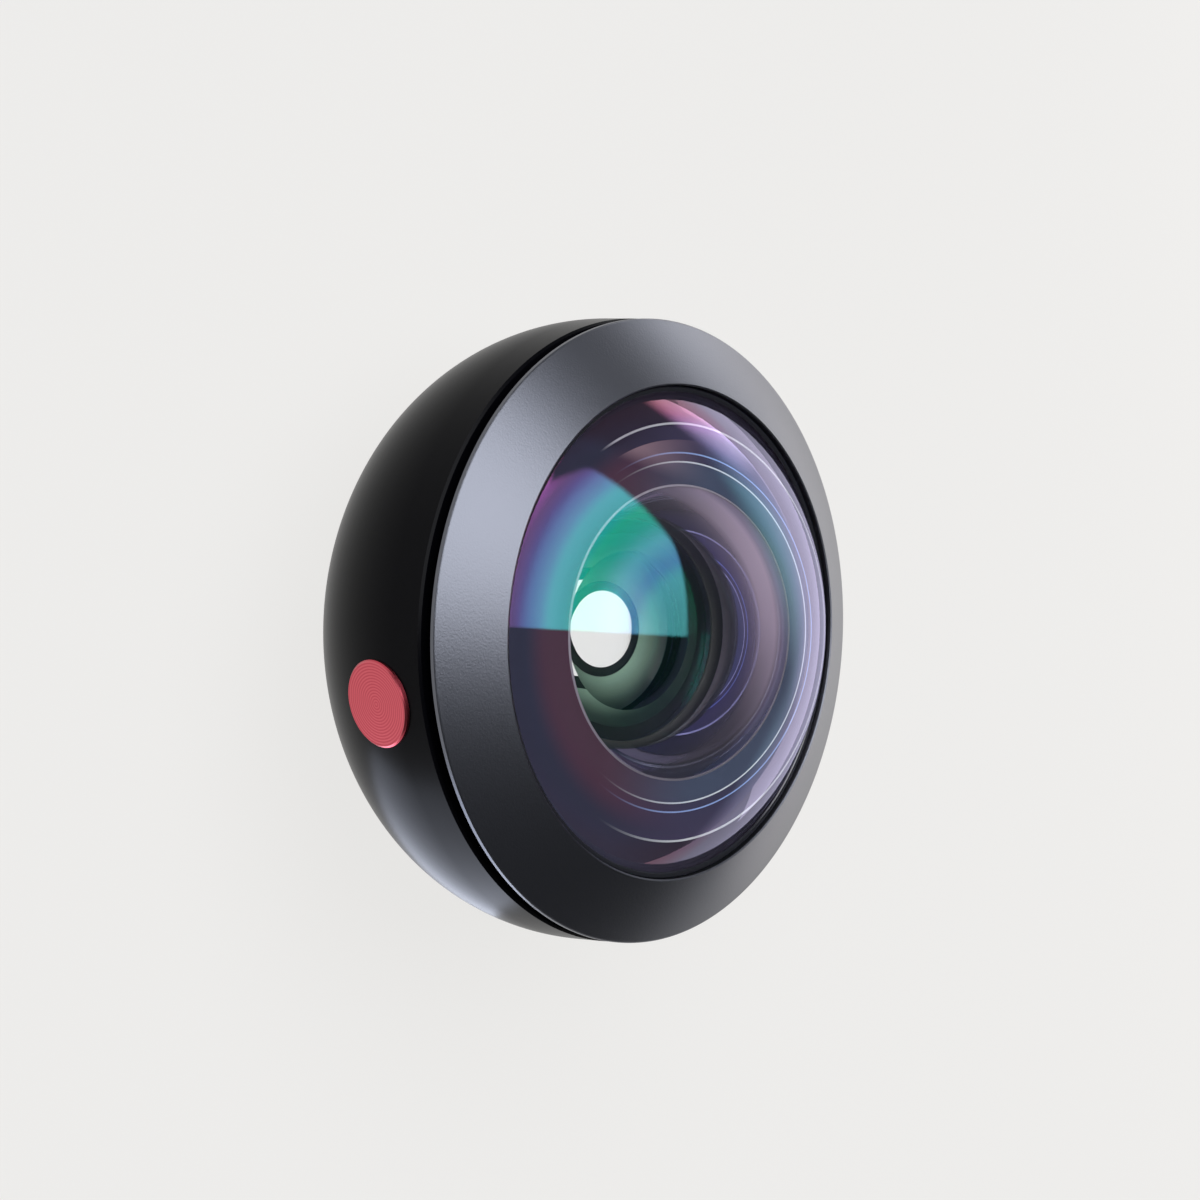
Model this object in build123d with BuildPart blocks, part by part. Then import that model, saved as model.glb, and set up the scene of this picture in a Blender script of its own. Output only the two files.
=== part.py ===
# Fisheye lens for a phone: a turned metal dome that holds five glasses in one barrel.
# Millimetres, +Z along the optical axis towards the subject.
# The origin is the centre of the spigot's rear face, on which the lens stands.
from build123d import *
from math import asin, cos, degrees, radians, sin, sqrt, tan
import os

# Dome shell
mount_height = 2.4            # rear face of the spigot up to the flat that meets the phone case
body_radius = 20.0
shoulder_radius = 14.05       # arc from the dome's side into its back
shoulder_sweep = 44.34        # degrees turned by that arc
straight_height = 2.24        # cylindrical band under the rim
seat_width = 1.34             # flat ring round the bayonet mount
shell_wall = 1.8
floor_thickness = 2.2
rim_chamfer = 0.15

# Front bezel
groove_height = 0.83          # open groove between shell rim and bezel
groove_depth = 1.1
face_width = 4.22             # radial width of the conical face
bezel_slope = 30.07           # degrees between the conical face and the rim plane
bezel_edge_height = 0.4       # upright edge under the conical face
bezel_edge_chamfer = 0.08
clamp_height = 0.9            # inner shoulder above the outer edge
neck_depth = 0.6              # outer shoulder below the shell rim
seal_width = 0.6
seal_thickness = 0.2          # both flat seals
skirt_wall = 1.2
skirt_length = 1.8            # threaded skirt below the outer shoulder

# Glass retainer
lip_recess = 0.345            # lip below the bezel's inner edge
lip_width = 0.42
lip_gap = 0.04
lip_round = 0.15
lip_drop = 0.2                # glass below the top of the lip
neck_wall = 0.22
retainer_flange = 0.4

# Front glass
front_rise = 7.1              # crown of the front face above the lip
front_thickness = 4.4         # on the axis
bowl_depth = 4.8
front_bevel = 0.15
front_edge_height = 1.6
front_step_width = 3.7
front_land_width = 4.0        # flat rear land round the bowl
baffle_width = 2.65           # blackened foil ring under the land

# Second glass
second_drop = 1.35            # its flat land below the barrel's cell floor
second_ring_margin = 1.95     # front glass's step in to the ring's outside
second_ring_step = 0.55       # ring's outside in to the glass's edge
second_land_width = 1.6
second_rise = 0.5
second_thickness = 1.5
second_bowl_depth = 1.6
second_bowl_radius = 5.6
second_edge_height = 1.1
second_step_width = 1.1

# Second retainer
second_ring_height = 0.8
second_ring_lip = 0.15        # height at its inner edge
second_ring_land = 0.4        # flat on top, outside the dished face
second_thread_height = 2.0    # threaded bore below the cell floor

# Stop and cemented pair
stop_gap = 6.1                # second glass's rear vertex to the stop
stop_radius = 3.65
stop_thickness = 0.3
pair_gap = 0.45               # stop to the pair's front vertex
pair_step = 0.55              # rear glass's edge in to the pair's edge
pair_land_width = 0.45
pair_front_rise = 1.3
pair_front_thickness = 1.2
cement_depth = 1.95
pair_rear_thickness = 3.5
pair_rear_rise = 1.06
pair_ring_height = 0.95

# Rear glass
rear_gap = 0.75               # on the axis, behind the pair
rear_radius = 7.1
rear_rise = 0.54              # crown inside the pair's radius
rear_thickness = 1.5
rear_ring_width = 0.35
rear_ring_height = 0.8
notch_width = 1.0
notch_depth = 0.4

# Barrel
head_height = 2.1
head_wall = 1.15
floor_wall = 2.9              # below the cell floor
waist_wall = 1.6
throat_margin = 1.3           # second bowl's rim out to the throat's wide end
throat_end_margin = 0.85      # stop's edge out to the throat's narrow end
throat_end_length = 0.35
throat_wall = 1.0
stop_wall = 0.65              # neck's start below the stop
tube_wall = 0.7
tube_tail = 0.1               # tube beyond the rear ring
collar_thickness = 1.9
collar_margin = 0.55          # beyond the screw heads' circle
shim_thickness = 0.2

# Bayonet mount
flange_thickness = 1.0
flange_margin = 0.15          # metal round the screw heads
spigot_wall = 0.85
lug_reach = 1.1
lug_width = 9.2
lug_thickness = 1.0

# Screws, M1.4 countersunk
screw_count = 4
screw_radius = 0.7
screw_head_radius = 1.0
screw_head_angle = 90.0
screw_bite = 1.5              # thread length in the collar
screw_sink = 0.05             # head below the mount's face
slot_width = 0.3
slot_depth = 0.2

# Badge
badge_radius = 2.83
badge_thickness = 0.65
badge_bevel = 0.12
badge_azimuth = -90.0         # degrees about the optical axis
badge_drop = 7.63             # degrees down the shoulder arc
badge_proud = 0.04            # above the dome at its centre
adhesive_thickness = 0.06

# Fits and clearances
glass_fit = 0.05              # glass in its bore
thread_fit = 0.03
tube_fit = 0.05               # plain tubes and holes
retainer_fit = 0.02
badge_fit = 0.05
foil_fit = 0.1                # light baffle in its bore
land_gap = 0.15               # barrel behind a glass's rear land
relief = 0.2                  # bore beyond what it holds


def sphere_radius(edge_radius, rise):
    # curvature of a face that rises this much inside its edge
    return (edge_radius**2 + rise**2) / (2 * rise)


def drop(edge_radius, rise, radius):
    # how far such a face has dropped at a distance from the axis
    curve = sphere_radius(edge_radius, rise)
    return curve - sqrt(curve**2 - radius**2)


def face_arc(vertex, edge_radius, rise, radius, side=1):
    # face from the axis outwards, falling when side is 1 and climbing when it is -1
    steps = (0, radius / 2, radius)
    return ThreePointArc(*[(r, vertex - side * drop(edge_radius, rise, r)) for r in steps])


# Radii from the body inwards
neck_radius = body_radius - groove_depth
skirt_radius = neck_radius - seal_width
skirt_bore_radius = skirt_radius - skirt_wall
opening_radius = body_radius - face_width
lip_outer_radius = opening_radius - lip_gap
lip_inner_radius = lip_outer_radius - lip_width
front_glass_radius = lip_outer_radius - neck_wall - retainer_fit
bevel_radius = front_glass_radius - front_bevel
front_step_radius = front_glass_radius - front_step_width
bowl_radius = front_step_radius - front_land_width
second_ring_radius = front_step_radius - second_ring_margin
second_radius = second_ring_radius - second_ring_step
second_clear_radius = second_radius - second_land_width
second_step_radius = second_radius - second_step_width

# Radii from the rear glass outwards
pair_radius = rear_radius - pair_step
pair_clear_radius = pair_radius - pair_land_width
pair_bore_radius = pair_radius + glass_fit
rear_bore_radius = rear_radius + thread_fit
tube_radius = rear_bore_radius + tube_wall
tube_bore_radius = tube_radius + tube_fit
spigot_radius = tube_bore_radius + spigot_wall
screw_circle_radius = spigot_radius + flange_margin + screw_head_radius
flange_radius = screw_circle_radius + screw_head_radius + flange_margin
flange_bore_radius = flange_radius + thread_fit
seat_radius = flange_bore_radius + seat_width
collar_radius = screw_circle_radius + screw_head_radius + collar_margin
lug_radius = spigot_radius + lug_reach

# Bores and outsides of the barrel
cell_bore_radius = front_glass_radius + glass_fit
step_bore_radius = front_step_radius + glass_fit
head_radius = skirt_bore_radius - 2 * tube_fit
head_skirt_radius = step_bore_radius + head_wall
waist_radius = second_radius + glass_fit + waist_wall
throat_radius = second_bowl_radius + throat_margin
throat_end_radius = stop_radius + throat_end_margin
barrel_neck_radius = pair_bore_radius + waist_wall

# Bores of the shell
shell_neck_bore = neck_radius + tube_fit
shell_skirt_bore = skirt_radius + thread_fit

# Heights of the dome and the bezel
shoulder_centre = body_radius - shoulder_radius
back_radius = shoulder_radius + shoulder_centre / cos(radians(shoulder_sweep))
back_centre_z = mount_height + sqrt(back_radius**2 - seat_radius**2)
shoulder_z = back_centre_z - shoulder_centre * tan(radians(shoulder_sweep))
floor_z = mount_height + floor_thickness
recess_z = mount_height + flange_thickness
rim_z = shoulder_z + straight_height
bezel_shoulder_z = rim_z - neck_depth
shell_ledge_z = bezel_shoulder_z - seal_thickness
skirt_end_z = bezel_shoulder_z - skirt_length
skirt_bore_end_z = skirt_end_z - relief
bezel_bottom_z = rim_z + groove_height
bezel_edge_z = bezel_bottom_z + bezel_edge_height
bezel_top_z = bezel_edge_z + face_width * tan(radians(bezel_slope))
clamp_z = bezel_edge_z + clamp_height
barrel_rim_z = clamp_z - retainer_flange

# Heights of the front glass
lip_top_z = bezel_top_z - lip_recess
glass_lip_z = lip_top_z - lip_drop
front_vertex_z = glass_lip_z + front_rise
bevel_top_z = front_vertex_z - drop(lip_inner_radius, front_rise, bevel_radius)
bevel_end_z = bevel_top_z - front_bevel
front_seat_z = bevel_end_z - front_edge_height
bowl_vertex_z = front_vertex_z - front_thickness
front_land_z = bowl_vertex_z - bowl_depth
cell_floor_z = front_land_z - land_gap

# Heights of the second glass
second_land_z = cell_floor_z - second_drop
second_vertex_z = second_land_z + second_rise
second_seat_z = second_land_z - second_edge_height
second_rear_z = second_vertex_z - second_thickness
second_rear_land_z = second_rear_z - second_bowl_depth
second_thread_z = cell_floor_z - second_thread_height
throat_z = second_rear_land_z - land_gap

# Heights of the stop and the cemented pair
stop_z = second_rear_z - stop_gap
throat_end_z = stop_z + throat_end_length
stop_rear_z = stop_z - stop_thickness
pair_vertex_z = stop_rear_z - pair_gap
pair_land_z = pair_vertex_z - pair_front_rise
cement_z = pair_vertex_z - pair_front_thickness
pair_rear_z = cement_z - pair_rear_thickness
pair_rear_land_z = pair_rear_z + pair_rear_rise
pair_ring_z = pair_rear_land_z - pair_ring_height

# Heights of the rear glass and the outside of the barrel
rear_vertex_z = pair_rear_z - rear_gap
rear_land_z = rear_vertex_z - rear_rise
rear_face_z = rear_vertex_z - rear_thickness
rear_ring_z = rear_face_z - rear_ring_height
tube_end_z = rear_ring_z - tube_tail
head_bottom_z = barrel_rim_z - head_height
head_skirt_z = cell_floor_z - floor_wall
waist_z = throat_z - throat_wall
barrel_neck_z = stop_z - stop_wall
collar_z = floor_z + shim_thickness
collar_top_z = collar_z + collar_thickness

# Screws: their circle, and heads a little below the mount's face
screw_start = 180 / screw_count
screw_head_z = mount_height + screw_sink
screw_head_height = (screw_head_radius - screw_radius) / tan(radians(screw_head_angle / 2))
screw_length = collar_z + screw_bite - screw_head_z

# Badge: its pocket is flat, and square to the dome under the badge's centre
badge_turn = radians(badge_azimuth)
badge_tip = radians(badge_drop)
badge_axis = Vector(cos(badge_tip) * cos(badge_turn), cos(badge_tip) * sin(badge_turn), -sin(badge_tip))
badge_offset = shoulder_centre + shoulder_radius * cos(badge_tip)
dome_point = Vector(
    badge_offset * cos(badge_turn),
    badge_offset * sin(badge_turn),
    shoulder_z - shoulder_radius * sin(badge_tip),
)
badge_top = Plane(
    origin=dome_point + badge_axis * badge_proud,
    x_dir=(-sin(badge_turn), cos(badge_turn), 0),
    z_dir=badge_axis,
)
badge_underside = badge_top.offset(-badge_thickness)
pocket_floor = badge_underside.offset(-adhesive_thickness)
pocket_reach = adhesive_thickness + badge_thickness + badge_radius  # the cut runs out past the dome

os.makedirs("parts", exist_ok=True)

# Dome shell, turned from one bar: recessed back, stepped mouth, pocket for the badge
with BuildPart() as body_shell:
    with BuildSketch(Plane.XZ):
        with BuildLine():
            seat_angle = degrees(asin((back_centre_z - mount_height) / back_radius))
            CenterArc((0, back_centre_z), back_radius, -seat_angle, seat_angle - shoulder_sweep)
            CenterArc((shoulder_centre, shoulder_z), shoulder_radius, -shoulder_sweep, shoulder_sweep)
            inner_shoulder = shoulder_radius - shell_wall
            inner_back = back_radius - shell_wall
            mouth_angle = degrees(asin((shoulder_z - skirt_bore_end_z) / inner_shoulder))
            floor_angle = degrees(asin((back_centre_z - floor_z) / inner_back))
            inner_side = CenterArc(
                (shoulder_centre, shoulder_z), inner_shoulder, -mouth_angle, mouth_angle - shoulder_sweep
            )
            inner_rear = CenterArc(
                (0, back_centre_z), inner_back, -shoulder_sweep, shoulder_sweep - floor_angle
            )
            Polyline(
                (body_radius, shoulder_z),
                (body_radius, rim_z - rim_chamfer),
                (body_radius - rim_chamfer, rim_z),
                (shell_neck_bore, rim_z),
                (shell_neck_bore, shell_ledge_z),
                (shell_skirt_bore, shell_ledge_z),
                (shell_skirt_bore, skirt_bore_end_z),
                inner_side @ 0,
            )
            Polyline(
                inner_rear @ 1,
                (tube_bore_radius, floor_z),
                (tube_bore_radius, recess_z),
                (flange_bore_radius, recess_z),
                (flange_bore_radius, mount_height),
                (seat_radius, mount_height),
            )
        make_face()
    revolve(axis=Axis.Z)
    with BuildSketch(Plane.XY.offset(recess_z)):
        with PolarLocations(screw_circle_radius, screw_count, screw_start):
            Circle(screw_radius + tube_fit)
    extrude(amount=floor_z - recess_z, mode=Mode.SUBTRACT)
    with BuildSketch(pocket_floor):
        Circle(badge_radius + badge_fit)
    extrude(amount=pocket_reach, mode=Mode.SUBTRACT)
body_shell.part.label = "body_shell"
export_step(body_shell.part, "parts/body_shell.step")

# Conical front ring with its threaded skirt
with BuildPart() as front_bezel:
    with BuildSketch(Plane.XZ):
        with BuildLine():
            Polyline(
                (skirt_bore_radius, skirt_end_z),
                (skirt_radius, skirt_end_z),
                (skirt_radius, bezel_shoulder_z),
                (neck_radius, bezel_shoulder_z),
                (neck_radius, bezel_bottom_z),
                (body_radius - bezel_edge_chamfer, bezel_bottom_z),
                (body_radius, bezel_bottom_z + bezel_edge_chamfer),
                (body_radius, bezel_edge_z - bezel_edge_chamfer),
                (
                    body_radius - bezel_edge_chamfer,
                    bezel_edge_z + bezel_edge_chamfer * tan(radians(bezel_slope)),
                ),
                (opening_radius, bezel_top_z),
                (opening_radius, clamp_z),
                (skirt_bore_radius, clamp_z),
                close=True,
            )
        make_face()
    revolve(axis=Axis.Z)
front_bezel.part.label = "front_bezel"
export_step(front_bezel.part, "parts/front_bezel.step")

# Flat seal between the bezel's shoulder and the shell's ledge
with BuildPart() as bezel_seal:
    with BuildSketch(Plane.XY.offset(shell_ledge_z)):
        Circle(neck_radius)
        Circle(shell_skirt_bore, mode=Mode.SUBTRACT)
    extrude(amount=seal_thickness)
bezel_seal.part.label = "bezel_seal"
export_step(bezel_seal.part, "parts/bezel_seal.step")

# Retainer of the front glass: a flange under the bezel, and a rounded lip in its opening
with BuildPart() as glass_retainer:
    with BuildSketch(Plane.XZ) as retainer_section:
        with BuildLine():
            Polyline(
                (front_glass_radius + retainer_fit, barrel_rim_z),
                (skirt_bore_radius - tube_fit, barrel_rim_z),
                (skirt_bore_radius - tube_fit, clamp_z),
                (lip_outer_radius, clamp_z),
                (lip_outer_radius, lip_top_z),
                (lip_inner_radius, lip_top_z),
                (lip_inner_radius, glass_lip_z + retainer_fit),
                (bevel_radius, bevel_top_z + retainer_fit),
                (front_glass_radius + retainer_fit, bevel_end_z),
                close=True,
            )
        make_face()
        fillet(retainer_section.vertices().group_by(Axis.Y)[-1], radius=lip_round)
    revolve(axis=Axis.Z)
glass_retainer.part.label = "glass_retainer"
export_step(glass_retainer.part, "parts/glass_retainer.step")

# Front glass: convex face, bevelled rim, stepped edge and the deep bowl behind
with BuildPart() as front_element:
    with BuildSketch(Plane.XZ):
        with BuildLine():
            outer_face = face_arc(front_vertex_z, lip_inner_radius, front_rise, bevel_radius)
            bowl_face = face_arc(bowl_vertex_z, bowl_radius, bowl_depth, bowl_radius)
            Polyline(
                outer_face @ 1,
                (front_glass_radius, bevel_end_z),
                (front_glass_radius, front_seat_z),
                (front_step_radius, front_seat_z),
                (front_step_radius, front_land_z),
                bowl_face @ 1,
            )
            Line(outer_face @ 0, bowl_face @ 0)
        make_face()
    revolve(axis=Axis.Z)
front_element.part.label = "front_element"
export_step(front_element.part, "parts/front_element.step")

# Flat seal under the front glass's step
front_seal_inner = (front_step_radius + front_glass_radius) / 2
with BuildPart() as front_seal:
    with BuildSketch(Plane.XY.offset(front_seat_z - seal_thickness)):
        Circle(front_glass_radius)
        Circle(front_seal_inner, mode=Mode.SUBTRACT)
    extrude(amount=seal_thickness)
front_seal.part.label = "front_seal"
export_step(front_seal.part, "parts/front_seal.step")

# Blackened foil ring between the front glass's rear land and the barrel
with BuildPart() as light_baffle:
    with BuildSketch(Plane.XY.offset(cell_floor_z)):
        Circle(step_bore_radius - foil_fit)
        Circle(step_bore_radius - baffle_width, mode=Mode.SUBTRACT)
    extrude(amount=land_gap)
light_baffle.part.label = "light_baffle"
export_step(light_baffle.part, "parts/light_baffle.step")

# Barrel: one turned tube with a seat for every glass, and a collar that stands on the shell's floor
with BuildPart() as lens_barrel:
    with BuildSketch(Plane.XZ):
        with BuildLine():
            Polyline(
                (cell_bore_radius, barrel_rim_z),
                (head_radius, barrel_rim_z),
                (head_radius, head_bottom_z),
                (head_skirt_radius, head_bottom_z),
                (head_skirt_radius, head_skirt_z),
                (waist_radius, waist_z),
                (barrel_neck_radius, barrel_neck_z),
                (barrel_neck_radius, collar_top_z),
                (collar_radius, collar_top_z),
                (collar_radius, collar_z),
                (tube_radius, collar_z),
                (tube_radius, tube_end_z),
                (rear_bore_radius, tube_end_z),
                (rear_bore_radius, rear_land_z),
                (pair_bore_radius, rear_land_z),
                (pair_bore_radius, stop_z),
                (throat_end_radius, stop_z),
                (throat_end_radius, throat_end_z),
                (throat_radius, throat_z),
                (second_step_radius + glass_fit, throat_z),
                (second_step_radius + glass_fit, second_seat_z),
                (second_radius + glass_fit, second_seat_z),
                (second_radius + glass_fit, second_thread_z),
                (second_ring_radius + thread_fit, second_thread_z),
                (second_ring_radius + thread_fit, cell_floor_z),
                (step_bore_radius, cell_floor_z),
                (step_bore_radius, front_seat_z),
                (front_seal_inner - glass_fit, front_seat_z),
                (front_seal_inner - glass_fit, front_seat_z - seal_thickness),
                (cell_bore_radius, front_seat_z - seal_thickness),
                close=True,
            )
        make_face()
    revolve(axis=Axis.Z)
    with BuildSketch(Plane.XY.offset(collar_z)):
        with PolarLocations(screw_circle_radius, screw_count, screw_start):
            Circle(screw_radius + retainer_fit)
    extrude(amount=collar_thickness, mode=Mode.SUBTRACT)
lens_barrel.part.label = "lens_barrel"
export_step(lens_barrel.part, "parts/lens_barrel.step")

# Threaded ring with a dished face that holds the second glass
with BuildPart() as second_retainer:
    with BuildSketch(Plane.XZ):
        with BuildLine():
            Polyline(
                (second_clear_radius + glass_fit, second_land_z),
                (second_ring_radius, second_land_z),
                (second_ring_radius, second_land_z + second_ring_height),
                (second_ring_radius - second_ring_land, second_land_z + second_ring_height),
                (second_clear_radius + glass_fit, second_land_z + second_ring_lip),
                close=True,
            )
        make_face()
    revolve(axis=Axis.Z)
second_retainer.part.label = "second_retainer"
export_step(second_retainer.part, "parts/second_retainer.step")

# Second glass: convex front, flat land for its ring, stepped edge and a bowl behind
with BuildPart() as second_element:
    with BuildSketch(Plane.XZ):
        with BuildLine():
            outer_face = face_arc(second_vertex_z, second_clear_radius, second_rise, second_clear_radius)
            bowl_face = face_arc(
                second_rear_z, second_bowl_radius, second_bowl_depth, second_bowl_radius
            )
            Polyline(
                outer_face @ 1,
                (second_radius, second_land_z),
                (second_radius, second_seat_z),
                (second_step_radius, second_seat_z),
                (second_step_radius, second_rear_land_z),
                bowl_face @ 1,
            )
            Line(outer_face @ 0, bowl_face @ 0)
        make_face()
    revolve(axis=Axis.Z)
second_element.part.label = "second_element"
export_step(second_element.part, "parts/second_element.step")

# Stop: thin plate whose hole opens towards the rear
with BuildPart() as aperture_stop:
    with BuildSketch(Plane.XZ):
        with BuildLine():
            Polyline(
                (stop_radius, stop_z),
                (pair_radius, stop_z),
                (pair_radius, stop_rear_z),
                (stop_radius + stop_thickness, stop_rear_z),
                close=True,
            )
        make_face()
    revolve(axis=Axis.Z)
aperture_stop.part.label = "aperture_stop"
export_step(aperture_stop.part, "parts/aperture_stop.step")

# Spacer tube between the stop and the pair's front land
with BuildPart() as stop_spacer:
    with BuildSketch(Plane.XY.offset(pair_land_z)):
        Circle(pair_radius)
        Circle(pair_clear_radius, mode=Mode.SUBTRACT)
    extrude(amount=stop_rear_z - pair_land_z)
stop_spacer.part.label = "stop_spacer"
export_step(stop_spacer.part, "parts/stop_spacer.step")

# Front half of the cemented pair
with BuildPart() as doublet_front:
    with BuildSketch(Plane.XZ):
        with BuildLine():
            outer_face = face_arc(pair_vertex_z, pair_clear_radius, pair_front_rise, pair_clear_radius)
            cement_face = face_arc(cement_z, pair_radius, cement_depth, pair_radius)
            Polyline(outer_face @ 1, (pair_radius, pair_land_z), cement_face @ 1)
            Line(outer_face @ 0, cement_face @ 0)
        make_face()
    revolve(axis=Axis.Z)
doublet_front.part.label = "doublet_front"
export_step(doublet_front.part, "parts/doublet_front.step")

# Rear half of the cemented pair
with BuildPart() as doublet_rear:
    with BuildSketch(Plane.XZ):
        with BuildLine():
            cement_face = face_arc(cement_z, pair_radius, cement_depth, pair_radius)
            rear_face = face_arc(
                pair_rear_z, pair_clear_radius, pair_rear_rise, pair_clear_radius, side=-1
            )
            Polyline(cement_face @ 1, (pair_radius, pair_rear_land_z), rear_face @ 1)
            Line(cement_face @ 0, rear_face @ 0)
        make_face()
    revolve(axis=Axis.Z)
doublet_rear.part.label = "doublet_rear"
export_step(doublet_rear.part, "parts/doublet_rear.step")

# Threaded ring behind the pair
with BuildPart() as doublet_retainer:
    with BuildSketch(Plane.XY.offset(pair_ring_z)):
        Circle(pair_bore_radius - thread_fit)
        Circle(pair_clear_radius, mode=Mode.SUBTRACT)
    extrude(amount=pair_ring_height)
doublet_retainer.part.label = "doublet_retainer"
export_step(doublet_retainer.part, "parts/doublet_retainer.step")

# Rear glass, flat behind
with BuildPart() as rear_element:
    with BuildSketch(Plane.XZ):
        with BuildLine():
            outer_face = face_arc(rear_vertex_z, pair_radius, rear_rise, pair_radius)
            Polyline(
                outer_face @ 1,
                (rear_radius, rear_land_z),
                (rear_radius, rear_face_z),
                (0, rear_face_z),
                outer_face @ 0,
            )
        make_face()
    revolve(axis=Axis.Z)
rear_element.part.label = "rear_element"
export_step(rear_element.part, "parts/rear_element.step")

# Threaded ring behind the rear glass, with two notches for a spanner
with BuildPart() as rear_retainer:
    with BuildSketch(Plane.XY.offset(rear_ring_z)):
        Circle(rear_radius)
        Circle(rear_radius - rear_ring_width, mode=Mode.SUBTRACT)
    extrude(amount=rear_ring_height)
    with BuildSketch(Plane.XY.offset(rear_ring_z)):
        Rectangle(2 * rear_radius, notch_width)
    extrude(amount=notch_depth, mode=Mode.SUBTRACT)
rear_retainer.part.label = "rear_retainer"
export_step(rear_retainer.part, "parts/rear_retainer.step")

# Shim between the barrel's collar and the shell's floor
with BuildPart() as barrel_shim:
    with BuildSketch(Plane.XY.offset(floor_z)):
        Circle(collar_radius)
        Circle(tube_bore_radius, mode=Mode.SUBTRACT)
        with PolarLocations(screw_circle_radius, screw_count, screw_start):
            Circle(screw_radius + tube_fit, mode=Mode.SUBTRACT)
    extrude(amount=shim_thickness)
barrel_shim.part.label = "barrel_shim"
export_step(barrel_shim.part, "parts/barrel_shim.step")

# Bayonet mount: flange let into the shell's back, spigot, and two lugs with parallel flanks
with BuildPart() as bayonet_mount:
    with BuildSketch(Plane.XY.offset(mount_height)):
        Circle(flange_radius)
        Circle(tube_bore_radius, mode=Mode.SUBTRACT)
    extrude(amount=flange_thickness)
    with BuildSketch(Plane.XY):
        Circle(spigot_radius)
        Circle(tube_bore_radius, mode=Mode.SUBTRACT)
    extrude(amount=mount_height)
    with BuildSketch(Plane.XY):
        Circle(lug_radius)
        Rectangle(2 * lug_radius, lug_width, mode=Mode.INTERSECT)
        Circle(tube_bore_radius, mode=Mode.SUBTRACT)
    extrude(amount=lug_thickness)
    with Locations(Plane(origin=(0, 0, screw_head_z), x_dir=(1, 0, 0), z_dir=(0, 0, -1))):
        with PolarLocations(screw_circle_radius, screw_count, screw_start):
            CounterSinkHole(
                screw_radius + tube_fit,
                screw_head_radius,
                depth=flange_thickness,
                counter_sink_angle=screw_head_angle,
            )
bayonet_mount.part.label = "bayonet_mount"
export_step(bayonet_mount.part, "parts/bayonet_mount.step")

# Slotted countersunk screws through mount, floor and shim into the barrel's collar
from_head = (Align.CENTER, Align.CENTER, Align.MIN)
with BuildPart() as mount_screws:
    with PolarLocations(screw_circle_radius, screw_count, screw_start):
        with Locations((0, 0, screw_head_z)):
            Cylinder(screw_radius, screw_length, align=from_head)
            Cone(screw_head_radius, screw_radius, screw_head_height, align=from_head)
    with BuildSketch(Plane.XY.offset(screw_head_z)):
        with PolarLocations(screw_circle_radius, screw_count, screw_start):
            Rectangle(2 * screw_head_radius, slot_width)
    extrude(amount=slot_depth, mode=Mode.SUBTRACT)
mount_screws.part.label = "mount_screws"
export_step(mount_screws.part, "parts/mount_screws.step")

# Badge: plain bevelled disc on its adhesive
with BuildPart() as badge_disc:
    with BuildSketch(badge_underside):
        Circle(badge_radius)
    extrude(amount=badge_thickness)
    top_face = badge_disc.faces().sort_by(Axis(badge_top.origin, badge_axis))[-1]
    chamfer(top_face.edges(), length=badge_bevel)
badge_disc.part.label = "badge_disc"
export_step(badge_disc.part, "parts/badge_disc.step")

with BuildPart() as badge_adhesive:
    with BuildSketch(pocket_floor):
        Circle(badge_radius)
    extrude(amount=adhesive_thickness)
badge_adhesive.part.label = "badge_adhesive"
export_step(badge_adhesive.part, "parts/badge_adhesive.step")
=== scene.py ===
import bmesh
import bpy
from math import acos, asin, cos, degrees, hypot, pi, radians, sin, sqrt, tan
from mathutils import Matrix, Vector


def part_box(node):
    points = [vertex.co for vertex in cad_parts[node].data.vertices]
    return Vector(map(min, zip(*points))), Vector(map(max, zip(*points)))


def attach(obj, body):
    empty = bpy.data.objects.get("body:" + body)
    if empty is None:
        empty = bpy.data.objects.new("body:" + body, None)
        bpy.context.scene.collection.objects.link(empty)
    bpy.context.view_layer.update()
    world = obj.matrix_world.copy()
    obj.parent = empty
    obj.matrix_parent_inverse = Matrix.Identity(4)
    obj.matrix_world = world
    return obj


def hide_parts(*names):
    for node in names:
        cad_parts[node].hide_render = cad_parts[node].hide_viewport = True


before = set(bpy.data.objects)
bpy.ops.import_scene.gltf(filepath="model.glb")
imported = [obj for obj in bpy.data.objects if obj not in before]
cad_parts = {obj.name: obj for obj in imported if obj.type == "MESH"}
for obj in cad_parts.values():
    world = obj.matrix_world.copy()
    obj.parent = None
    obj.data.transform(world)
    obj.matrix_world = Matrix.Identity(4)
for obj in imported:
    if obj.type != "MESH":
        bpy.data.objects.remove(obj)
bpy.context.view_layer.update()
MM = 0.001


# The camera looks at the lens 49 degrees off its optical axis, rolled so that the axis points to the right.
# It is aimed by the centre of the front ring's outer edge, the point that the photograph gives best.
VIEW_OFF_AXIS = radians(49.17)
AXIS_TILT = radians(2.743)
CAMERA_DISTANCE = 400 * MM
PHOTO_WIDTH = 1200
RING_AT_PIXEL = (646.3, 631.1)
PIXELS_PER_MM = 15.613
SENSOR_WIDTH = 36.0
NEAREST_SEEN = 10 * MM
RING_DEPTH = 2.443 * MM                  # from the front ring's inner edge back to its outer edge
CAMERA_SIDE = (-0.269, -0.963, 0)        # across the axis; the badge, at -Y, is 16 degrees away from it

ring_centre = Vector((0, 0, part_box("front_bezel")[1].z - RING_DEPTH))
axis = Vector((0, 0, 1))
side_near = Vector(CAMERA_SIDE).normalized()
side_up = side_near.cross(axis)          # across the axis, up in the picture
to_camera = cos(VIEW_OFF_AXIS) * axis + sin(VIEW_OFF_AXIS) * side_near
picture_right = (sin(VIEW_OFF_AXIS) * cos(AXIS_TILT) * axis + sin(AXIS_TILT) * side_up
                 - cos(VIEW_OFF_AXIS) * cos(AXIS_TILT) * side_near)
picture_up = to_camera.cross(picture_right)

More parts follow.
